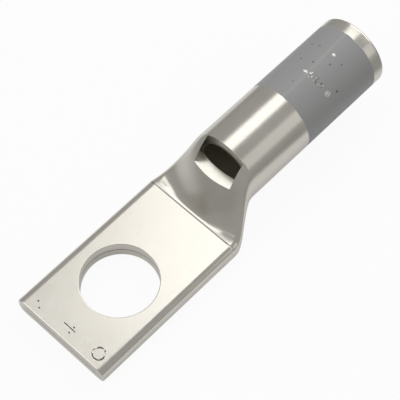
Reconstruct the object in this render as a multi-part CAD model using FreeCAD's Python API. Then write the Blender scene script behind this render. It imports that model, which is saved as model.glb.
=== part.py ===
import FreeCAD, Part
import math
import os

os.makedirs("parts", exist_ok=True)
V = FreeCAD.Vector

# Tinned copper cable lug with one stud hole, made from one piece of tube.
# Millimetres. Origin: centre of the stud hole on the tongue's underside.
# +X runs along the barrel to its mouth, +Z is up.

# Tongue: its tip and its back end are measured from the stud hole
TONGUE_W = 12.6
TONGUE_T = 2.24
EDGE_R = 0.79
TONGUE_FRONT = 8.7
TONGUE_BACK = 10.95
STUD_D = 8.5

# Barrel: its underside lies a little above the tongue's
BARREL_OD = 8.6
WALL = 1.2
BARREL_LENGTH = 20.75
BARREL_RISE = 1.36
MOUTH_ROUND = 0.3
LEAD_IN = 0.35

# Transition from flat to round. The ease rounds the crease. The shares say
# where along it the width is done and where the shoulders rise, and the
# top zone is how far round from the top the ramp's middle reaches.
TRANSITION_LENGTH = 5.25
CREASE_EASE = 0.29
WIDTH_DONE = 0.92
TOP_BULGE = 0.25
SHOULDER_START = 0.1
SHOULDER_DONE = 0.98
TOP_ZONE_DEG = 86.0
STEPS = 14
CROWDING = 1.5

# Hollow inside the transition: where it closes, behind the crease and
# in from the tongue's sides, and the gap left there
HOLLOW_LAP = 2.1
HOLLOW_SIDE = 1.5
HOLLOW_GAP = 0.12

# Inspection window: a flat-bottomed cut up to the barrel's root, this far
# above the barrel's axis. It leaves a level face across the ramp's wall.
WINDOW_W = 5.1
WINDOW_ABOVE_AXIS = 0.84

# Seam between the two pressed walls
SEAM_GAP = 0.09
SEAM_DEPTH = 0.3
SEAM_SIDE = 1.05

# Places that follow from these sizes
TIP_X = -TONGUE_FRONT
CREASE_X = TONGUE_BACK
ROOT_X = CREASE_X + TRANSITION_LENGTH
MOUTH_X = ROOT_X + BARREL_LENGTH
AXIS_Z = BARREL_RISE + BARREL_OD / 2
BORE_D = BARREL_OD - 2 * WALL
TONGUE_FORM = (TONGUE_W, TONGUE_T, EDGE_R, 0.0)


def smooth(t):
    """Ease from 0 to 1 with level ends, and stay there outside."""
    t = min(max(t, 0.0), 1.0)
    return t * t * (3.0 - 2.0 * t)


def bar_point(angle, width, thick, edge):
    """Point on a flat bar's outline, reached at the same share of the
    way round as the angle is of a full turn. Angle 0 is the top centre."""
    flat = width / 2 - edge
    bend = math.pi / 2 * edge
    quarter = flat + bend + thick / 2 - edge
    side = math.copysign(1.0, angle)
    way = abs(angle) / (math.pi / 2) * quarter
    under = way > quarter
    if under:
        way = 2 * quarter - way
    if way <= flat:
        y, z = way, thick
    elif way <= flat + bend:
        turn = (way - flat) / edge
        y = flat + edge * math.sin(turn)
        z = thick - edge + edge * math.cos(turn)
    else:
        y, z = width / 2, thick - edge - (way - flat - bend)
    if under:
        z = thick - z
    return side * y, z


def blend(u, angle):
    """Shares of the round form at station u: for widths and for heights."""
    across = smooth(u / WIDTH_DONE)
    ease = CREASE_EASE / TRANSITION_LENGTH
    climb = (math.hypot(u, ease) - ease) / (math.hypot(1.0, ease) - ease)
    top = climb + TOP_BULGE * climb * (1.0 - climb)
    shoulder = smooth((u - SHOULDER_START) / (SHOULDER_DONE - SHOULDER_START))
    reach = abs(angle) / math.radians(TOP_ZONE_DEG)
    weight = math.cos(math.pi / 2 * min(reach, 1.0)) ** 2
    return across, top * weight + shoulder * (1.0 - weight)


def form_point(u, angle, flat, tube_r):
    """Point of the tube's outline when it is pressed part of the way:
    each point travels from its place on the bar to its place on the circle."""
    width, thick, edge, low = flat
    across, up = blend(u, angle)
    y0, z0 = bar_point(angle, width, thick, edge)
    y = (1 - across) * y0 + across * tube_r * math.sin(angle)
    z = (1 - up) * (z0 + low) + up * (AXIS_Z + tube_r * math.cos(angle))
    return y, z


def section(x, u, flat, tube_r):
    """Closed outline of the tube at one station, as eight joined edges:
    flat, bend, side, bend, and the same again underneath."""
    width, thick, edge, low = flat
    bend = math.pi / 2 * edge
    quarter = width / 2 - edge + bend + thick / 2 - edge
    a1 = (width / 2 - edge) / quarter * math.pi / 2
    a2 = (width / 2 - edge + bend) / quarter * math.pi / 2
    turns = [-a1, a1, a2, math.pi - a2, math.pi - a1]
    turns += [math.pi + a1, math.pi + a2, 2 * math.pi - a2, 2 * math.pi - a1]

    def at(angle):
        wrapped = (angle + math.pi) % (2 * math.pi) - math.pi
        y, z = form_point(u, wrapped, flat, tube_r)
        return V(x, y, z)

    edges = []
    for i in range(8):
        start = turns[i]
        span = turns[i + 1] - start
        if u == 0.0 and i % 2 == 0:
            edges.append(Part.makeLine(at(start), at(start + span)))
        elif u == 0.0 or u == 1.0:
            edges.append(Part.Arc(at(start), at(start + span / 2), at(start + span)).toShape())
        else:
            count = 9 if span > 1.0 else 4
            shares = [k / (count - 1) for k in range(count)]
            curve = Part.BSplineCurve()
            curve.interpolate(Points=[at(start + k * span) for k in shares], Parameters=shares)
            edges.append(curve.toShape())
    return Part.Wire(edges)


def pressed_tube(start_x, end_x, flat, tube_r):
    """Solid that runs from the flat outline to the round one.
    The stations lie closer together near the crease, where it turns most."""
    wires = []
    for i in range(STEPS + 1):
        u = (i / STEPS) ** CROWDING
        wires.append(section(start_x + u * (end_x - start_x), u, flat, tube_r))
    return Part.makeLoft(wires, True, False)


def rod(radius, x0, x1):
    return Part.makeCylinder(radius, x1 - x0, V(x0, 0, AXIS_Z), V(1, 0, 0))


def tongue():
    """Flat tongue: both walls pressed together, long edges left round."""
    outline = section(TIP_X, 0.0, TONGUE_FORM, BARREL_OD / 2)
    return Part.Face(outline).extrude(V(CREASE_X - TIP_X, 0, 0))


def barrel():
    """Round barrel, its mouth edge rounded on the outside."""
    body = rod(BARREL_OD / 2, ROOT_X, MOUTH_X)
    rim = [e for e in body.Edges if abs(e.CenterOfMass.x - MOUTH_X) < 1e-6]
    return body.makeFillet(MOUTH_ROUND, [e for e in rim if len(e.Vertexes) == 1])


def hollow():
    """Bore with a short lead-in, and the space that closes to the seam."""
    slot = (TONGUE_W - 2 * HOLLOW_SIDE, HOLLOW_GAP, HOLLOW_GAP * 0.4, (TONGUE_T - HOLLOW_GAP) / 2)
    wedge = pressed_tube(CREASE_X + HOLLOW_LAP, ROOT_X, slot, BORE_D / 2)
    bore = rod(BORE_D / 2, ROOT_X, MOUTH_X + LEAD_IN)
    at = V(MOUTH_X - LEAD_IN, 0, AXIS_Z)
    cone = Part.makeCone(BORE_D / 2, BORE_D / 2 + LEAD_IN * 2, LEAD_IN * 2, at, V(1, 0, 0))
    return wedge.fuse([bore, cone])


def window():
    """Inspection window, cut down to one level through the top wall only.
    Where that level meets the round ramp, the front edge bows forward."""
    z = AXIS_Z + WINDOW_ABOVE_AXIS
    corner = V(CREASE_X, -WINDOW_W / 2, z)
    return Part.makeBox(TRANSITION_LENGTH, WINDOW_W, BARREL_OD, corner)


def seam():
    """Fine line where the two walls meet, on the tip and in the stud hole."""
    z = TONGUE_T / 2 - SEAM_GAP / 2
    wide = TONGUE_W - 2 * SEAM_SIDE
    tip = Part.makeBox(SEAM_DEPTH, wide, SEAM_GAP, V(TIP_X, -wide / 2, z))
    ring = Part.makeCylinder(STUD_D / 2 + SEAM_DEPTH, SEAM_GAP, V(0, 0, z))
    return [tip, ring]


def stud_hole():
    return Part.makeCylinder(STUD_D / 2, TONGUE_T + 2.0, V(0, 0, -1.0))


def cable_lug():
    """The whole lug as one solid: walls first, then what is cut from them."""
    transition = pressed_tube(CREASE_X, ROOT_X, TONGUE_FORM, BARREL_OD / 2)
    lug = tongue().fuse([transition, barrel()]).removeSplitter()
    lug = lug.cut(hollow())
    lug = lug.cut(window())
    lug = lug.cut([stud_hole()] + seam())
    return lug.Solids[0]


lug = cable_lug()
lug.exportStep("parts/cable_lug.step")
print("valid", lug.isValid(), "volume", round(lug.Volume, 1), "faces", len(lug.Faces))
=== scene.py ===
# %% [markdown]
# # A tinned cable lug with an inspection window
# The real lug is one length of copper tube. A press closes one end into a flat tongue, a punch
# opens the stud hole and the window, and a tin bath coats the whole piece. The window lets the
# electrician see that the wire has gone all the way in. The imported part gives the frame: its
# origin is the stud hole's centre on the tongue's underside, +X runs to the barrel's mouth, +Z up.

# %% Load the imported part
import math

import bmesh
import bpy
import mathutils
import numpy as np
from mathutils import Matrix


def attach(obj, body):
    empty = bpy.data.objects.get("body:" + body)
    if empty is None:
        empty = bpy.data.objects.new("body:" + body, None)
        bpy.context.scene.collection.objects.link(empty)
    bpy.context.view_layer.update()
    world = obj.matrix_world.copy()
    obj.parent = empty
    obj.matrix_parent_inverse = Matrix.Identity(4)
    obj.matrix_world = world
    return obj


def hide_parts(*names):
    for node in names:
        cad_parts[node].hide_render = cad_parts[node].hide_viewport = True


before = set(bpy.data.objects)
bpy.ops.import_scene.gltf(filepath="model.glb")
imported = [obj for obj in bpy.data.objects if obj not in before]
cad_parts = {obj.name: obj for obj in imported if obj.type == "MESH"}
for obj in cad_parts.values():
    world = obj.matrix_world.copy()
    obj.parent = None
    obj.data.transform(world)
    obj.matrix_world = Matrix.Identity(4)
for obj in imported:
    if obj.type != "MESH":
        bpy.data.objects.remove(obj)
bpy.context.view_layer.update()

print("packed pieces:", sorted(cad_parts))

# %% [markdown]
# ## Sizes
# The lug's skin is worked out again here as a surface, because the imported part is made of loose
# triangles with knife edges, and bright metal shows every one of them. The sizes are the packed
# part's own, in millimetres, but for two. The tongue's long edges bend over a quarter of an
# ellipse, which fits the photograph better than the part's arc. The slot in which the hollow ends
# is narrower and higher here, because the part's own slot breaks through the underside of the
# shoulders. The skin also has what the press and the punch leave on a real edge: small roundings,
# and the thin line that the die presses in front of the ramp.

# %% Sizes in millimetres
TONGUE_W, TONGUE_T = 12.6, 2.24
EDGE_WIDE, EDGE_HIGH = 0.9, 0.75
TIP_X, CREASE_X, ROOT_X, MOUTH_X = -8.7, 10.95, 16.2, 36.95
TUBE_R, BORE_R, AXIS_Z, HOLE_R = 4.3, 3.1, 5.66, 4.25
BAR = (TONGUE_W, TONGUE_T, EDGE_WIDE, EDGE_HIGH)
HOLLOW_X, HOLLOW_LOW, SLOT_W, SLOT_GAP = 13.05, 1.5, 6.0, 0.12
SLOT = (SLOT_W, SLOT_GAP, SLOT_GAP * 0.4, SLOT_GAP * 0.4)
WINDOW_HALF, WINDOW_LEVEL = 2.55, 6.5
SEAM_LOW, SEAM_HIGH, SEAM_DEPTH, SEAM_HALF = 1.075, 1.165, 0.3, 5.25
TIP_ROUND, RIM_ROUND, MOUTH_ROUND, LEAD_IN = 0.1, 0.07, 0.3, 0.35
DIE_LINE_X, DIE_LINE_WIDTH, DIE_LINE_DEPTH = 10.85, 0.055, 0.07
CREASE_EASE, TOP_BULGE, TOP_ZONE_DEG = 0.29, 0.25, 86
SHOULDER_START, SHOULDER_LENGTH, WIDTH_DONE = 0.1, 0.88, 0.92
print("length", MOUTH_X - TIP_X, "mm, tongue", TONGUE_W, "x", TONGUE_T, "mm")

# %% [markdown]
# ## The outline of a flattened tube
# A pressed tube keeps the length of its outline, so a point that was an eighth of the way round
# the circle is an eighth of the way round the flat bar too. Each point is named by its turn: 0 at
# the top centre, pi at the bottom, 2 pi at the top again. Cross-sections drawn one by one and
# joined would also do, but a formula gives every section at once, and they flow together.


# %% Outline of the flat bar
def wrap(turn):
    """The same turn, counted from -pi to pi."""
    return (turn + np.pi) % (2 * np.pi) - np.pi


def bar_lengths(width, thick, wide, high):
    """Lengths of the flat, of the bend and of the side in a quarter of the bar's outline. The
    bend is a quarter of an ellipse, and its length is taken from the mean of its half axes."""
    return width / 2 - wide, np.pi / 2 * (wide + high) / 2, thick / 2 - high


def bar_outline(turn, width, thick, wide, high):
    """Outline of a flat bar with round long edges, at arrays of turns.
    The way from the top centre is the turn's share of a quarter of the outline. It runs along
    the flat, then round the bend, then down the side; the lower half mirrors the upper one.
    Returns y, z and the outline's outward normal there."""
    turn = wrap(turn)
    flat, bend, upright = bar_lengths(width, thick, wide, high)
    quarter = flat + bend + upright
    way = np.abs(turn) / (np.pi / 2) * quarter
    under = way > quarter
    way = np.where(under, 2 * quarter - way, way)
    arc = np.clip((way - flat) / bend, 0, 1) * np.pi / 2
    side = np.where(turn < 0, -1.0, 1.0)
    face = np.where(under, -1.0, 1.0)
    y = side * (np.minimum(way, flat) + wide * np.sin(arc))
    rise = upright + high * np.cos(arc) - np.maximum(way - flat - bend, 0)
    long = np.hypot(high * np.sin(arc), wide * np.cos(arc))
    return y, thick / 2 + face * rise, side * high * np.sin(arc) / long, face * wide * np.cos(arc) / long


flat, bend, upright = bar_lengths(*BAR)
quarter = flat + bend + upright
BEND_START, BEND_END = np.pi / 2 * flat / quarter, np.pi / 2 * (flat + bend) / quarter
print("the bend lies between", np.round(np.degrees([BEND_START, BEND_END]), 1), "degrees of turn")

# %% [markdown]
# ## The pressed transition
# Between the tongue and the barrel each point of the outline travels from its place on the bar to
# its place on the circle. Widths and heights travel at their own pace: the top climbs straight
# away as a ramp, the shoulders lag behind it, and the sides draw in along a soft S. These paces
# are what gives the ramp the crescent-shaped reflection of the real one.


# %% Paces of the transition
def smooth(t):
    """Ease from 0 to 1 with level ends: three t squared less two t cubed, held outside."""
    t = np.clip(t, 0, 1)
    return t * t * (3 - 2 * t)


def climb(u):
    """Rise from 0 to 1 along a hyperbola: level at the crease and straight after it. It is the
    root of u squared plus ease squared, moved and stretched to start at 0 and end at 1."""
    ease = CREASE_EASE / (ROOT_X - CREASE_X)
    return (np.hypot(u, ease) - ease) / (math.hypot(1, ease) - ease)


def pressed(x, turn, start_x, bar, low, radius):
    """Outline, at stations x, of a tube that is pressed from start_x back to the barrel's root.
    u is the share of the way from the flat end to the round one. The ramp on top climbs with a
    small bulge, and the shoulders rise as a smooth step. A squared cosine of the turn hands over
    from one to the other."""
    u = np.clip((x - start_x) / (ROOT_X - start_x), 0, 1)
    y0, z0, _, _ = bar_outline(turn, *bar)
    top = climb(u) + TOP_BULGE * climb(u) * (1 - climb(u))
    shoulder = smooth((u - SHOULDER_START) / SHOULDER_LENGTH)
    from_top = np.abs(wrap(turn)) / math.radians(TOP_ZONE_DEG)
    weight = np.cos(np.pi / 2 * np.minimum(from_top, 1)) ** 2
    across, up = smooth(u / WIDTH_DONE), top * weight + shoulder * (1 - weight)
    y = (1 - across) * y0 + across * radius * np.sin(turn)
    z = (1 - up) * (z0 + low) + up * (AXIS_Z + radius * np.cos(turn))
    return y, z


def outer_skin(x, turn):
    """Outside of the tube: bar in front of the crease, circle behind the root. The die's edge
    leaves a shallow line across the top, a bell curve of x that fades out on the bends."""
    y, z = pressed(x, turn, CREASE_X, BAR, 0.0, TUBE_R)
    on_top = smooth((BEND_END - np.abs(wrap(turn))) / (BEND_END - BEND_START))
    line = np.exp(-(((x - DIE_LINE_X) / DIE_LINE_WIDTH) ** 2))
    return y, z - DIE_LINE_DEPTH * line * on_top


def inner_skin(x, turn):
    """Inside of the tube: a thin slot that opens into the bore, at the same paces as outside."""
    return pressed(x, turn, HOLLOW_X, SLOT, HOLLOW_LOW, BORE_R)


print("height of the ramp half way up:", np.round(outer_skin((CREASE_X + ROOT_X) / 2, 0.0)[1], 2), "mm")

# %% [markdown]
# ## The window's outline on both skins
# The window is cut down from above to one level. At the back it stops at the barrel's root, and in
# front it leaves a level face across the sloping wall, which shines as white as the tongue. A
# boolean cut would leave slivers along its sides. Here one column of the grid is moved onto the
# side at every station and its neighbours share the difference, and rows are bent onto the front
# edge, so the window is a clean rectangle of the grid.


# %% The window's side and front edge
HALVINGS, SIDE_LIMIT, FRONT_LIMIT = 40, 1.45, 1.25


def side_turn(x, skin):
    """Turn at which the skin is WINDOW_HALF from the middle, found by halving an interval."""
    low, high = np.zeros_like(x), np.full_like(x, SIDE_LIMIT)
    for _ in range(HALVINGS):
        guess = (low + high) / 2
        wide = skin(x, guess)[0] > WINDOW_HALF
        low, high = np.where(wide, low, guess), np.where(wide, guess, high)
    return (low + high) / 2


def front_edge(skin, start_x):
    """Line on which the skin passes the window's level, found by halving intervals.
    Returns the skin, the x of the window's corner, and how far in front of the corner the line
    runs at each y."""
    turn = np.linspace(0, FRONT_LIMIT, 200)
    low, high = np.full_like(turn, start_x), np.full_like(turn, ROOT_X)
    for _ in range(HALVINGS):
        guess = (low + high) / 2
        above = skin(guess, turn)[1] > WINDOW_LEVEL
        low, high = np.where(above, low, guess), np.where(above, guess, high)
    y = skin(low, turn)[0]
    corner_x = np.interp(WINDOW_HALF, y, low)
    return skin, corner_x, y, corner_x - low


OUTER, INNER = front_edge(outer_skin, CREASE_X), front_edge(inner_skin, HOLLOW_X)
print("front edge outside: x", np.round([OUTER[1] - OUTER[3][0], OUTER[1]], 2))
print("front edge inside: x", np.round([INNER[1] - INNER[3][0], INNER[1]], 2))

# %% Turns of the columns
FIRST = float(side_turn(np.array([OUTER[1]]), outer_skin)[0])
SIDE, EDGE, BEND_COLUMNS, WALL_COLUMNS = 16, 48, 10, 5
runs = [(0, FIRST, SIDE), (FIRST, BEND_START, EDGE - SIDE), (BEND_START, BEND_END, BEND_COLUMNS)]
upper = np.concatenate([np.linspace(a, b, n, endpoint=False) for a, b, n in runs])
side_wall = np.linspace(BEND_END, np.pi - BEND_END, WALL_COLUMNS)
half = np.concatenate([upper, side_wall, np.pi - upper[::-1]])
COLUMNS = np.concatenate([half, 2 * np.pi - half[-2:0:-1]])
BOTTOM = len(half) - 1
OWN = np.minimum(COLUMNS, 2 * np.pi - COLUMNS)
HAND = np.where(COLUMNS > np.pi, -1.0, 1.0)
print(len(COLUMNS), "columns; the window's side is column", SIDE, "and the bottom is", BOTTOM)


def turns(edge_turn):
    """Turns of all columns, one row for each edge turn. Columns inside the window spread evenly up
    to the edge turn, and those outside share what is left of the half circle."""
    edge_turn = np.asarray(edge_turn, float)[:, None]
    within = OWN * edge_turn / FIRST
    beyond = edge_turn + (OWN - FIRST) * (np.pi - edge_turn) / (np.pi - FIRST)
    return HAND * np.where(OWN <= FIRST + 1e-9, within, beyond)


# %% [markdown]
# ## Rows that follow the window's bowed front
# The window's front edge bows towards the tongue, because it is where a level cut meets a round
# ramp. Rows in front of it bow a little more with each step, so the last of them lies exactly on
# the edge. A row's x depends on its y, and its y on its x, so both are found in a few rounds.


# %% Rows of points on a skin
ROUNDS = 12


def rows(stations, bow, edge):
    """Grid of points for the rows at these stations. A row is moved forward by its bow, from 0 to
    1, times the lead that the window's front edge has over its corner at that y."""
    skin, corner_x, edge_y, lead = edge
    stations, bow = np.asarray(stations, float)[:, None], np.reshape(bow, (-1, 1))
    grid = turns(side_turn(np.clip(stations[:, 0], corner_x, ROOT_X), skin))
    x = stations + 0 * grid
    for _ in range(ROUNDS):
        y = np.minimum(np.abs(skin(x, grid)[0]), WINDOW_HALF)
        x = stations - bow * np.interp(y, edge_y, lead)
    return np.stack([x, *skin(x, grid)], -1)


def approach(start, count, crowd, edge):
    """Stations and bows from start to the window's corner, closer together near the start."""
    share = np.linspace(0, 1, count) ** crowd
    return start + share * (edge[1] - start), smooth(share)


front_row = rows([OUTER[1]], [1], OUTER)[0, [0, SIDE]]
print("front of the window: x", np.round(front_row[:, 0], 3), "z", np.round(front_row[:, 2], 3))

# %% [markdown]
# ## One skin from tip to hollow
# Every ring of points goes once round the tube, and the rings follow each other from the bottom
# of the seam, over the tip, along the tongue, up the transition, along the barrel, round the mouth
# and back through the bore to the slit where the hollow closes. A single grid like this leaves no
# gaps to close. Rectangles of it are left out for the flat faces round the stud hole and for the
# window, and get their own patches.


# %% Rings of the tip
HOLD, ROUND_STEPS = 0.03, 6
print("a ring", HOLD, "mm beside each rounding keeps the flat face beside it flat")


def bar_ring(x, inset):
    """Outline of the bar at x, moved inwards along its normal by the inset."""
    y, z, ny, nz = bar_outline(COLUMNS, *BAR)
    return np.stack([np.full_like(y, x), y - inset * ny, z - inset * nz], -1)


def seam_ring(x):
    """Slit between the two pressed walls: the columns of the flats spread along it, and the
    columns of the bends and the side share its short end."""
    along = np.minimum(np.minimum(OWN, np.pi - OWN) / BEND_START, 1)
    down = np.clip((OWN - BEND_START) / (np.pi - 2 * BEND_START), 0, 1)
    z = SEAM_HIGH + down * (SEAM_LOW - SEAM_HIGH)
    return np.stack([np.full_like(z, x), HAND * SEAM_HALF * along, z], -1)


tip, slit = bar_ring(TIP_X, TIP_ROUND), seam_ring(TIP_X)
rings = [seam_ring(TIP_X + SEAM_DEPTH), slit, (1 - HOLD) * tip + HOLD * slit, tip]
for a in np.linspace(0, np.pi / 2, ROUND_STEPS)[1:]:
    rings.append(bar_ring(TIP_X + TIP_ROUND * (1 - math.cos(a)), TIP_ROUND * (1 - math.sin(a))))
TONGUE_ROW = len(rings) - 1
print(len(rings), "rings round the tip")

# %% Rings of the tongue
LIP_X, FLAT_X, TONGUE_RINGS = CREASE_X - 0.3, TIP_X + TIP_ROUND, 62
ray_angles = np.linspace(math.atan2(flat, FLAT_X), math.atan2(flat, LIP_X), TONGUE_RINGS)[1:-1]
tongue_x = np.concatenate([[FLAT_X + HOLD], flat / np.tan(ray_angles), [LIP_X - HOLD, LIP_X]])
rings += list(rows(tongue_x, 0 * tongue_x, OUTER))
LIP_ROW = len(rings) - 1
print(len(rings), "rings up to the lip in front of the crease")

# %% Rings of the transition
DIE_RINGS, RAMP_RINGS, RAMP_CROWD, WINDOW_RINGS = 23, 50, 1.6, 23
die_x = np.linspace(LIP_X, CREASE_X, DIE_RINGS)[1:-1]
ramp_x, ramp_bow = approach(CREASE_X, RAMP_RINGS, RAMP_CROWD, OUTER)
rings += list(rows(die_x, 0 * die_x, OUTER)) + list(rows(ramp_x, ramp_bow, OUTER))
FRONT_ROW = len(rings) - 1
window_x = np.linspace(OUTER[1], ROOT_X, WINDOW_RINGS)[1:]
rings += list(rows(window_x, 0 * window_x, OUTER))
BACK_ROW = len(rings) - 1
print(len(rings), "rings up to the window's back edge")

# %% Rings of the barrel and the mouth
BARREL_RINGS, MOUTH_STEPS = 16, 9
beside_root = ROOT_X + np.array([0.06, 0.15, 0.3, 0.6])
barrel_x = np.concatenate([beside_root, np.linspace(ROOT_X + 1.3, MOUTH_X - MOUTH_ROUND, BARREL_RINGS)])
rings += list(rows(barrel_x, 0 * barrel_x, OUTER))
outer_edge, inner_edge = (side_turn(np.array([ROOT_X]), s)[0] for s in (outer_skin, inner_skin))


def round_ring(x, radius, share):
    """Circle about the barrel's axis. The share moves its columns from the outer set to the inner."""
    turn = turns([outer_edge + share * (inner_edge - outer_edge)])[0]
    return np.stack([np.full_like(turn, x), radius * np.sin(turn), AXIS_Z + radius * np.cos(turn)], -1)


for a in np.linspace(0, np.pi / 2, MOUTH_STEPS)[1:]:
    x, radius = MOUTH_X - MOUTH_ROUND * (1 - math.sin(a)), TUBE_R - MOUTH_ROUND * (1 - math.cos(a))
    rings.append(round_ring(x, radius, 0))
for x, radius in [(MOUTH_X, TUBE_R - MOUTH_ROUND - 0.02), (MOUTH_X, BORE_R + LEAD_IN + 0.06),
                  (MOUTH_X - 0.02, BORE_R + LEAD_IN), (MOUTH_X - LEAD_IN, BORE_R)]:
    rings.append(round_ring(x, radius, 0))
print(len(rings), "rings up to the bore; the mouth's rounding is", MOUTH_ROUND, "mm")

# %% Rings of the bore and the hollow
BORE_RINGS, HOLLOW_RINGS, HOLLOW_CROWD = 13, 30, 1.3
for share in np.linspace(0, 1, BORE_RINGS)[1:-1]:
    rings.append(round_ring(MOUTH_X - LEAD_IN + share * (ROOT_X - MOUTH_X + LEAD_IN), BORE_R, share))
INNER_BACK = len(rings)
window_x = np.linspace(ROOT_X, INNER[1], WINDOW_RINGS)[:-1]
rings += list(rows(window_x, 0 * window_x, INNER))
INNER_FRONT = len(rings)
hollow_x, hollow_bow = approach(HOLLOW_X, HOLLOW_RINGS, HOLLOW_CROWD, INNER)
rings += list(rows(hollow_x[::-1], hollow_bow[::-1], INNER))
skin = np.array(rings)
INDEX = np.arange(skin.shape[0] * skin.shape[1]).reshape(skin.shape[:2])
print("skin grid:", skin.shape[0], "rings of", skin.shape[1], "points")

# %% [markdown]
# ## Faces of the skin, the flats, the stud hole and the window's walls
# All patches share the skin's own points along their borders, so nothing needs to be welded. The
# flats round the stud hole are fans of rays: every point of the border looks at the hole's centre,
# and the points between lie on that ray. The hole's wall is a profile carried once round, with the
# seam between the two pressed walls as a fine groove half way down.


# %% Faces from index grids
def strip(loop_a, loop_b):
    """Four-sided faces between two closed loops of point numbers of the same length."""
    return np.stack([loop_a, np.roll(loop_a, -1), np.roll(loop_b, -1), loop_b], -1).reshape(-1, 4)


def loop(first, last, half_width):
    """Rows and columns once round a rectangle of the grid about column 0: along the last row,
    down one side, back along the first row and up the other side."""
    across = np.arange(-half_width, half_width + 1)
    along = np.arange(first, last)
    row = np.concatenate([np.full(len(across), last), along[::-1], np.full(len(across) - 2, first), along])
    side = np.full(len(along), half_width)
    column = np.concatenate([across, side, across[-2:0:-1], -side])
    return row, column % len(COLUMNS)


quads = np.stack([strip(a, b) for a, b in zip(INDEX[:-1], INDEX[1:])])
offset = (np.arange(len(COLUMNS)) + len(COLUMNS) // 2) % len(COLUMNS) - len(COLUMNS) // 2
kept = np.ones(quads.shape[:2], bool)
in_window = (offset >= -SIDE) & (offset < SIDE)
on_top = (offset >= -EDGE) & (offset < EDGE)
below = np.abs(np.arange(len(COLUMNS)) + 0.5 - BOTTOM) < EDGE
kept[FRONT_ROW:BACK_ROW] &= ~in_window
kept[INNER_BACK:INNER_FRONT] &= ~in_window
kept[TONGUE_ROW:LIP_ROW] &= ~(on_top | below)
faces = [quads[kept]]
print(int(kept.sum()), "faces in the skin")

# %% Window walls and the borders of the flats
row, column = loop(FRONT_ROW, BACK_ROW, SIDE)
faces.append(strip(INDEX[row, column], INDEX[INNER_BACK + BACK_ROW - row, column]))

row, column = loop(TONGUE_ROW, LIP_ROW, EDGE)
borders = [INDEX[row, column], INDEX[row, (BOTTOM - column) % len(COLUMNS)]]
points, count = [skin.reshape(-1, 3)], skin.shape[0] * skin.shape[1]
print(len(borders[0]), "points round each flat")


def add(block):
    """Adds points to the list and returns their numbers."""
    global count
    points.append(block)
    count += len(block)
    return np.arange(count - len(block), count)


# %% Flats and the stud hole
RIM_R = HOLE_R + RIM_ROUND
border = points[0][borders[0]]
reach = np.hypot(border[:, 0], border[:, 1])
ray = border[:, :2] / reach[:, None]


def ray_ring(radius, z):
    """Ring of points at a radius, or an array of radii, on the rays from the hole's centre."""
    return np.column_stack([ray * np.reshape(radius + 0 * reach, (-1, 1)), np.full(len(ray), z)])


rims = []
for last, z in zip(borders, (TONGUE_T, 0.0)):
    for share in (0, 0.33, 0.67, 1):
        radius = (reach - HOLD) * (1 - share) + (RIM_R + HOLD) * share
        ring = add(ray_ring(radius, z))
        faces.append(strip(last, ring))
        last = ring
    rims.append(add(ray_ring(RIM_R, z)))
    faces.append(strip(last, rims[-1]))

bend_steps = np.linspace(0, np.pi / 2, ROUND_STEPS)[1:]
shape = [(RIM_R - RIM_ROUND * math.sin(a), TONGUE_T - RIM_ROUND * (1 - math.cos(a))) for a in bend_steps]
shape += [(HOLE_R, SEAM_HIGH), (HOLE_R + SEAM_DEPTH, SEAM_HIGH)]
wall = shape + [(radius, TONGUE_T - z) for radius, z in shape[::-1]]
last = rims[0]
for radius, z in wall:
    ring = add(ray_ring(radius, z))
    faces.append(strip(last, ring))
    last = ring
faces.append(strip(last, rims[1]))
ends = []
for ring in (INDEX[0], INDEX[-1]):
    centre = add(points[0][ring].mean(0, keepdims=True))
    ends.append(np.stack([ring, np.roll(ring, -1), np.full(len(ring), centre[0])], -1))
print(len(ray), "rays round the stud hole,", len(wall) + 1, "rings down its wall")


# %% Make the mesh
def make_piece(name, xyz_mm, face_blocks, sharp_deg):
    """Object at the origin from points in millimetres and blocks of faces. Unused points are
    left out, normals face outwards, and edges sharper than the angle stay sharp."""
    used, flat_faces = np.unique(np.concatenate([b.ravel() for b in face_blocks]), return_inverse=True)
    parts, start = [], 0
    for block in face_blocks:
        parts += flat_faces.ravel()[start : start + block.size].reshape(block.shape).tolist()
        start += block.size
    mesh = bpy.data.meshes.new(name)
    mesh.from_pydata((xyz_mm[used] * 0.001).tolist(), [], parts)
    work = bmesh.new()
    work.from_mesh(mesh)
    bmesh.ops.recalc_face_normals(work, faces=work.faces)
    print(name, "open edges:", sum(not e.is_manifold for e in work.edges),
          "volume:", round(work.calc_volume(signed=True) * 1e9, 1), "mm3, faces:", len(work.faces))
    work.to_mesh(mesh)
    work.free()
    mesh.polygons.foreach_set("use_smooth", np.ones(len(mesh.polygons), bool))
    mesh.set_sharp_from_angle(angle=math.radians(sharp_deg))
    piece = bpy.data.objects.new(name, mesh)
    bpy.context.scene.collection.objects.link(piece)
    return piece


SHARP_DEG = 28
lug = make_piece("lug_body", np.concatenate(points), faces + ends, SHARP_DEG)
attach(lug, "root")
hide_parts("cable_lug")

# %% [markdown]
# ## Shader maths as plain sums
# A material is a small calculation that is done at every point of the surface. Wired by hand it
# soon looks like a plate of noodles, so one small class wraps an output socket and lets Python
# write the sums. Nothing in the lug's finish looks at the camera, so it stays put in every view.


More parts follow.
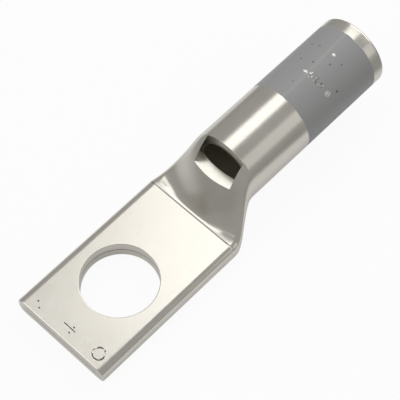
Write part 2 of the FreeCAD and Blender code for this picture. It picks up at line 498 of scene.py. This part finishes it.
# %% A socket that can be used in sums
class Wire:
    """An output socket. a + b, 1 - a, a * 2 and the like add Math nodes."""

    def __init__(self, tree, socket=None):
        self.tree, self.socket = tree, socket

    def node(self, kind, settings=None, inputs=None, output=0):
        """New node: its settings first, then values or wires by socket."""
        made = self.tree.nodes.new("ShaderNode" + kind)
        for name, value in (settings or {}).items():
            setattr(made, name, value)
        for name, value in (inputs or {}).items():
            if isinstance(value, Wire):
                self.tree.links.new(value.socket, made.inputs[name])
            else:
                made.inputs[name].default_value = value
        return Wire(self.tree, made.outputs[output])

    def math(self, operation, *values, clamp=False):
        """Math node on numbers or wires."""
        settings = {"operation": operation, "use_clamp": clamp}
        return self.node("Math", settings, dict(enumerate(values)))

    def vector(self, operation, *values, output=0):
        """Vector Math node on triples or wires."""
        return self.node("VectorMath", {"operation": operation}, dict(enumerate(values)), output)

    def step(self, width):
        """0 below minus half the width, 1 above plus half of it, and straight between."""
        return self.math("MULTIPLY_ADD", self, 1 / width, 0.5, clamp=True)

    def within(self, half, soft):
        """1 where this wire is less than half away from 0, with edges this soft."""
        return (half - self.math("ABSOLUTE", self)).step(soft)

    def mix(self, first, second):
        """Colour that goes from first to second as this wire goes from 0 to 1."""
        return self.node("Mix", {"data_type": "RGBA"}, {0: self, 6: first, 7: second}, 2)

    def noise(self, scale, detail=2.0, rough=0.5):
        """Noise from 0 to 1 at this place, with about scale lumps to each unit, and finer lumps
        on them that weigh more the rougher it is."""
        inputs = {"Vector": self, "Scale": scale, "Detail": detail, "Roughness": rough}
        return self.node("TexNoise", None, inputs)

    def show(self, shader, kind="OutputMaterial"):
        """Sends the shader to the tree's output."""
        out = self.tree.nodes.new("ShaderNode" + kind)
        self.tree.links.new(shader.socket, out.inputs[0])

    def __add__(self, other):
        return self.math("ADD", self, other)

    def __sub__(self, other):
        return self.math("SUBTRACT", self, other)

    def __rsub__(self, other):
        return self.math("SUBTRACT", other, self)

    def __mul__(self, other):
        return self.math("MULTIPLY", self, other)

    __radd__, __rmul__ = __add__, __mul__


def fresh(name):
    """New material and a wire that starts its calculation."""
    material = bpy.data.materials.new(name)
    material.use_nodes = True
    material.node_tree.nodes.clear()
    return material, Wire(material.node_tree)


print("sums in wires are ready")

# %% [markdown]
# ## The tin coat and the grey ink band
# Electroplated tin is a soft, slightly warm white metal. It isn't a mirror: the tube's fine draw
# lines run along it, the bath leaves faint clouds, and handling adds hair scratches, so streaks of
# light have soft edges. The barrel carries a band of grey ink that marks the crimping zone. Both
# are one material, because the ink lies in the tin's own surface: a mask turns metal into paint,
# and chips in the mask let the tin show through. A label mesh laid over the barrel would have to
# float above it. The punched marks near the tip are plain: a ring, a bar and dots.

# %% Places on the lug, in millimetres
material, make = fresh("tinned_copper")
metres = make.node("TexCoord", output="Object")
mm = make.vector("MULTIPLY", metres, (1000, 1000, 1000))
x, y, z = (make.node("SeparateXYZ", None, {0: mm}, i) for i in range(3))
height = z - AXIS_Z
from_axis = make.math("SQRT", y * y + height * height)
way_round = make.math("ARCTAN2", y, height) * TUBE_R
unrolled = make.node("CombineXYZ", None, {0: x, 1: way_round})
print("distances from the barrel's axis and ways round it are in millimetres")

# %% Ink band with ragged edges
SOFT, BAND, RAG, INKED_R = 0.05, (24.66, 35.4), 0.16, 4.0
ragged = (mm.noise(1.6, 3.0) - 0.5) * RAG
ink = (x - BAND[0] + ragged).step(SOFT) * (BAND[1] - x + ragged).step(SOFT)
ink = ink * (from_axis - INKED_R).step(SOFT)
print("ink band from x", BAND[0], "to", BAND[1], "mm")


# %% Shapes of marks and flecks
def near(place, centre, radius):
    """Distance from a circle of this radius about the centre, on the tongue's top or on the
    unrolled barrel: the distance from its centre less the radius, without its sign."""
    far = make.vector("DISTANCE", place, (*centre, 0), output="Value")
    return make.math("ABSOLUTE", far - radius)


def fleck(along, around_deg, long, wide, rag=0.9):
    """1 inside a ragged oval on the unrolled barrel, and 0 outside it. Its edge lies where the
    distance from its centre, measured in half lengths and half widths, passes a noisy 1."""
    centre = (along, math.radians(around_deg) * TUBE_R, 0)
    away = make.vector("SUBTRACT", unrolled, centre)
    away = make.vector("MULTIPLY", away, (1 / long, 1 / wide, 0))
    far = make.vector("LENGTH", away, output="Value")
    return (1.0 - far + (unrolled.noise(7.0, 1.0) - 0.5) * rag).step(0.35)


print("marks are circles, strokes and ragged ovals")

# %% Worn flecks in the ink
chips = [(32.45, -9.0, 0.16, 0.22), (28.75, 1.5, 0.13, 0.3), (28.95, -6.0, 0.1, 0.12),
         (28.75, -43.0, 0.28, 0.1), (28.95, -46.5, 0.28, 0.1), (28.6, -25.0, 0.1, 0.12)]
specks = [(28.55, -20.0, 0.12, 0.16), (28.95, -27.5, 0.14, 0.1), (32.24, 31.0, 0.1, 0.1),
          (32.38, 17.6, 0.09, 0.12), (29.85, 23.2, 0.1, 0.1), (30.2, 4.4, 0.1, 0.14),
          (31.26, -15.7, 0.11, 0.11), (32.3, -27.0, 0.12, 0.07), (30.0, -52.0, 0.2, 0.1),
          (28.95, 44.0, 0.08, 0.1), (26.94, 3.5, 0.07, 0.08)]
chipped, specked = fleck(*chips[0]), fleck(*specks[0])
for spot in chips[1:]:
    chipped = make.math("MAXIMUM", chipped, fleck(*spot))
for spot in specks[1:]:
    specked = make.math("MAXIMUM", specked, fleck(*spot))
print(len(chips), "chips and", len(specks), "specks")

# %% A worn row of speckles and a faint ring
ROW_CENTRE, ROW_HALF, FAINT_RING, FAINT_R = (28.8, -1.15), (0.42, 1.35), (28.85, -3.35), 0.3
row = (x - ROW_CENTRE[0]).within(ROW_HALF[0], 0.1) * (way_round - ROW_CENTRE[1]).within(ROW_HALF[1], 0.1)
speckle = unrolled.noise(4.5, 2.0, 0.6)
faint = (0.06 - near(unrolled, FAINT_RING, FAINT_R)).step(SOFT)
chipped = make.math("MAXIMUM", chipped, row * (speckle - 0.6).step(0.05))
specked = make.math("MAXIMUM", specked, row * (0.4 - speckle).step(0.05))
chipped = make.math("MAXIMUM", chipped, faint * 0.7)
paint = ink * (1 - chipped * 0.9)
print("the worn row is", 2 * ROW_HALF[0], "by", 2 * ROW_HALF[1], "mm")

# %% Punched marks near the tip
RING_CENTRE, RING_R, RING_HALF = (-7.31, -4.36), 0.68, 0.085
STROKE_CENTRE, STROKE_HALF = (-7.3, -0.05), (0.075, 0.8)
DOTS, DOT_R = [(-7.0, -0.42), (-7.75, -0.46), (-7.43, 4.47), (-7.9, 3.85)], 0.1
flat_place = make.node("CombineXYZ", None, {0: x, 1: y})
broken = (mm.noise(2.3, 1.0) - 0.42).step(0.1)
marks = (RING_HALF - near(flat_place, RING_CENTRE, RING_R)).step(SOFT) * broken
stroke = (x - STROKE_CENTRE[0]).within(STROKE_HALF[0], SOFT)
marks = marks + stroke * (y - STROKE_CENTRE[1]).within(STROKE_HALF[1], 0.1)
for centre in DOTS:
    marks = marks + (DOT_R - near(flat_place, centre, 0.0)).step(0.06)
marks = make.math("MINIMUM", marks, 1.0) * (z - 2.0).step(0.1)
print("a ring, a stroke and", len(DOTS), "dots")

# %% Tin coat
along = make.vector("MULTIPLY", mm, (0.06, 1, 1))
lines = along.noise(9.0, 3.0, 0.6)
clouds = mm.noise(0.45, 3.0, 0.55)
hair = make.vector("MULTIPLY", mm, (0.5, 3.2, 3.2)).noise(3.0, 4.0, 0.7)
scratch = (hair - 0.66).step(0.06)
# Inside the bore the tin is rougher, and it is painted darker and warmer as painted shade.
bore = (BORE_R + 0.3 - from_axis).step(0.1) * (x - ROOT_X + 1.0).step(0.2)
tin = clouds.mix((0.67, 0.643, 0.58, 1), (0.74, 0.718, 0.66, 1))
tin = (scratch * 0.35).mix(tin, (0.59, 0.575, 0.545, 1))
tin = (bore * 0.45).mix(tin, (0.34, 0.30, 0.20, 1))
print("tin with draw lines, clouds, hair scratches and a rougher bore with painted shade")

# %% Darker places: the window's back face, the marks, and painted shade along the die line
LINE_HALF, LINE_SPREAD, SPREAD_Y, LINE_END_Y = 0.07, -0.06, -4.6, -5.3
# The window's back face is made darker and rougher.
window_back_face = (x - ROOT_X + 0.08).step(SOFT) * (ROOT_X + 0.05 - x).step(SOFT)
window_back_face = window_back_face * (TUBE_R - 0.05 - from_axis).step(0.04)
tin = (window_back_face * 0.7).mix(tin, (0.2, 0.195, 0.185, 1))
tin = (marks * 0.9).mix(tin, (0.10, 0.095, 0.085, 1))
# The dark line along the die's groove is painted shade, and it widens towards the near edge.
line_half = make.math("MAXIMUM", (y - SPREAD_Y) * LINE_SPREAD, 0.0) + LINE_HALF
die_line_shade = (x - DIE_LINE_X).within(line_half, 0.06) * (z - 1.9).step(0.2) * (y - LINE_END_Y).step(0.4)
tin = (die_line_shade * 0.7).mix(tin, (0.16, 0.155, 0.145, 1))
print("the painted shade along the die line is", 2 * LINE_HALF, "mm wide and spreads towards the near edge")

# %% Grey ink
grain = mm.noise(14.0, 2.0)
grey = grain.mix((0.325, 0.326, 0.327, 1), (0.375, 0.376, 0.377, 1))
grey = (specked * 0.75).mix(grey, (0.07, 0.07, 0.07, 1))
# A lighter grey line along the ink, near the top of the barrel, is a painted highlight of the overhead
# lamps.
SHEEN_X, SHEEN_ROUND, SHEEN_LEAN = 29.0, -0.13, 0.05
sheen_line = way_round - SHEEN_ROUND - (x - SHEEN_X) * SHEEN_LEAN + (clouds - 0.5) * 0.5
grey = (sheen_line.within(0.16, 0.2) * 0.22).mix(grey, (0.5, 0.5, 0.49, 1))
print("a painted sheen line runs along the ink")

# %% Tin and ink in one finish
colour = paint.mix(tin, grey)
tin_rough = 0.17 + lines * 0.05 + clouds * 0.05 + scratch * 0.08 + bore * 0.3 + marks * 0.3 + window_back_face * 0.2
rough = tin_rough * (1 - paint) + (0.42 + grain * 0.1) * paint
relief = lines * 0.0006 + clouds * 0.006 - scratch * 0.0008 - marks * 0.02
relief = relief + paint * (0.006 + grain * 0.0015)
bump = make.node("Bump", None, {"Strength": 1.0, "Distance": 0.001, "Height": relief})
finish = {"Base Color": colour, "Metallic": 1 - paint, "Roughness": rough, "Normal": bump}
make.show(make.node("BsdfPrincipled", None, finish))
lug.data.materials.append(material)
print(len(material.node_tree.nodes), "nodes in the finish")

# %% [markdown]
# ## Floor, light and camera
# Bright metal is a picture of the room, so the room is built for it. Three soft boxes hang
# overhead: one for the crescent at the foot of the ramp, one for the tongue and one for the streak
# along the barrel. A weak one stands low on the near side, one shines in from the tip's side and
# one from behind the mouth, and an even grey studio is all round. The floor is a plain white sheet.
# A share of it glows for the camera and in reflections, so it reads as white paper, and the rest is lit, so
# the lug's own soft shadow stays on it. Reflections find a painted pool of glow round the lug and paper
# painted dimmer beyond it, which gives the bright metal its darker edges. For the camera the far paper is
# painted a little darker too.

# %% Paper for the floor
CAMERA_GLOW, MIRROR_GLOW = 0.93, 0.25
WHITE, LIT_WHITE, DIM = (1, 1, 1, 1), (0.9, 0.9, 0.9, 1), (0.42, 0.42, 0.415, 1)
paper, make = fresh("white_paper")
ray_kinds = ("Is Camera Ray", "Is Glossy Ray", "Is Transmission Ray")
to_camera, to_mirror, to_glass = (make.node("LightPath", output=name) for name in ray_kinds)
seen = make.math("MAXIMUM", to_camera * CAMERA_GLOW, make.math("MAXIMUM", to_mirror, to_glass) * MIRROR_GLOW)
print("share of glow for the camera", CAMERA_GLOW, "and in reflections", MIRROR_GLOW)

# %% Painted pool of glow round the lug
# The pool is a rectangle turned by 45 degrees. Each vector lies along one of its sides, and is
# as long as it takes to measure metres in shares of half that side.
POOL_CENTRE, ACROSS, ALONG = (0.0155, 0.0025, 0), (28.3, -28.3, 0), (25.7, 25.7, 0)
POOL_EDGE, POOL_SOFT, PAGE_EDGE, PAGE_SOFT, PAGE_SHADE = 1.1, 0.26, 1.9, 1.4, 0.3
place = make.vector("SUBTRACT", make.node("TexCoord", output="Object"), POOL_CENTRE)
across, along = (make.vector("DOT_PRODUCT", place, way, output="Value") for way in (ACROSS, ALONG))
out = make.math("MAXIMUM", make.math("ABSOLUTE", across), make.math("ABSOLUTE", along))
far = (out - POOL_EDGE).step(POOL_SOFT)
# Beyond the pool the glow and the paper are painted dimmer, and for the camera the far paper is painted a
# little darker.
shade = far * (1 - to_camera) + to_camera * (out - PAGE_EDGE).step(PAGE_SOFT) * PAGE_SHADE
lit = make.node("BsdfDiffuse", None, {"Color": far.mix(LIT_WHITE, DIM)})
glow = make.node("Emission", None, {"Color": shade.mix(WHITE, DIM), "Strength": 1.0})
make.show(make.node("MixShader", None, {0: seen, 1: lit, 2: glow}))
print(len(paper.node_tree.nodes), "nodes in the paper")

# %% Floor
sheet = bpy.data.meshes.new("floor")
FLOOR_HALF = 0.8
corners = [(-1, -1), (1, -1), (1, 1), (-1, 1)]
sheet.from_pydata([(a * FLOOR_HALF, b * FLOOR_HALF, 0) for a, b in corners], [], [(0, 1, 2, 3)])
floor = bpy.data.objects.new("floor", sheet)
bpy.context.scene.collection.objects.link(floor)
sheet.materials.append(paper)
print("floor:", 2 * FLOOR_HALF, "m square")


# %% A soft box
ALMOST_UP = (0.0, 1e-6, 1.0)


def soft_box(name, centre, size, target, radiance):
    """Rectangular lamp that shines from its centre to the target, with its width level. The power
    gives the wanted radiance: a lamp's power is pi times its area times its radiance."""
    data = bpy.data.lights.new(name, "AREA")
    data.shape, data.size, data.size_y = "RECTANGLE", size[0], size[1]
    data.energy = radiance * math.pi * size[0] * size[1]
    box = bpy.data.objects.new(name, data)
    box.location = centre
    aim = np.array(centre, float) - np.array(target, float)
    aim /= np.linalg.norm(aim)
    side = np.cross(ALMOST_UP, aim)
    side /= np.linalg.norm(side)
    columns = np.stack([side, np.cross(aim, side), aim], 1)
    box.rotation_euler = mathutils.Matrix(columns.tolist()).to_euler()
    bpy.context.scene.collection.objects.link(box)
    print(name, "power", round(data.energy, 3), "W")


# %% Soft boxes, in metres
CEILING, CREASE, NEAR_AIM = 0.30, (0.011, 0, 0.003), (0.17, 0, 0.003)
overhead = [("soft_box_left", (-0.06, 0.143), (0.23, 0.114), 1.13),
            ("soft_box_tongue", (0.1, 0.066), (0.05, 0.146), 1.3),
            ("soft_box_barrel", (0.1825, 0.0915), (0.115, 0.197), 1.25)]
for name, above, size, radiance in overhead:
    soft_box(name, (*above, CEILING), size, (*above, 0), radiance)
soft_box("soft_box_near", (0.17, -0.215, 0.15), (0.13, 0.16), NEAR_AIM, 0.38)
soft_box("soft_box_tip", (-0.176, 0.141, 0.222), (0.20, 0.19), CREASE, 1.05)
soft_box("soft_box_fill", (0.345, 0.03, 0.20), (0.40, 0.24), CREASE, 1.6)

# %% Grey studio
STUDIO = {"Color": (1.0, 0.995, 0.98, 1), "Strength": 0.40}
world = bpy.data.worlds.new("studio")
bpy.context.scene.world = world
world.use_nodes = True
world.node_tree.nodes.clear()
room = Wire(world.node_tree)
room.show(room.node("Background", None, STUDIO), "OutputWorld")
print("studio at", STUDIO["Strength"])

# %% [markdown]
# ### Camera
# The photograph looks down on the lug from the tip's side. The camera's azimuth, elevation, roll,
# distance and focal length were found by fitting the lug's sizes to its outline in the picture.

# %% Where the camera looks from
AZIMUTH, ELEVATION, ROLL = (math.radians(a) for a in (-44.99, 60.22, -1.63))
FOCAL_PX, IMAGE_PX, SENSOR_MM = 1517.7, 400, 36.0
DISTANCE, TARGET = 0.16198, np.array([0.010, 0.0, 0.002])
SHIFT = np.array([-0.001492, -0.002173])
level = math.cos(ELEVATION)
back = np.array([math.sin(AZIMUTH) * level, -math.cos(AZIMUTH) * level, math.sin(ELEVATION)])
right = np.array([math.cos(AZIMUTH), math.sin(AZIMUTH), 0.0])
up = np.cross(back, right)
right, up = (math.cos(ROLL) * right + math.sin(ROLL) * up, math.cos(ROLL) * up - math.sin(ROLL) * right)
eye = TARGET + back * DISTANCE - right * SHIFT[0] - up * SHIFT[1]
print("camera at", np.round(eye * 1000, 2), "mm")

# %% Camera
view = bpy.data.cameras.new("camera")
view.sensor_width, view.lens = SENSOR_MM, FOCAL_PX / IMAGE_PX * SENSOR_MM
view.clip_start, view.clip_end = 0.001, 10.0
camera = bpy.data.objects.new("camera", view)
turned = mathutils.Matrix(np.stack([right, up, back], 1).tolist()).to_quaternion()
camera.matrix_world = mathutils.Matrix.LocRotScale(mathutils.Vector(eye), turned, None)
bpy.context.scene.collection.objects.link(camera)
bpy.context.scene.camera = camera
bpy.context.scene.view_settings.view_transform = "Standard"
print("lens", round(view.lens, 2), "mm")
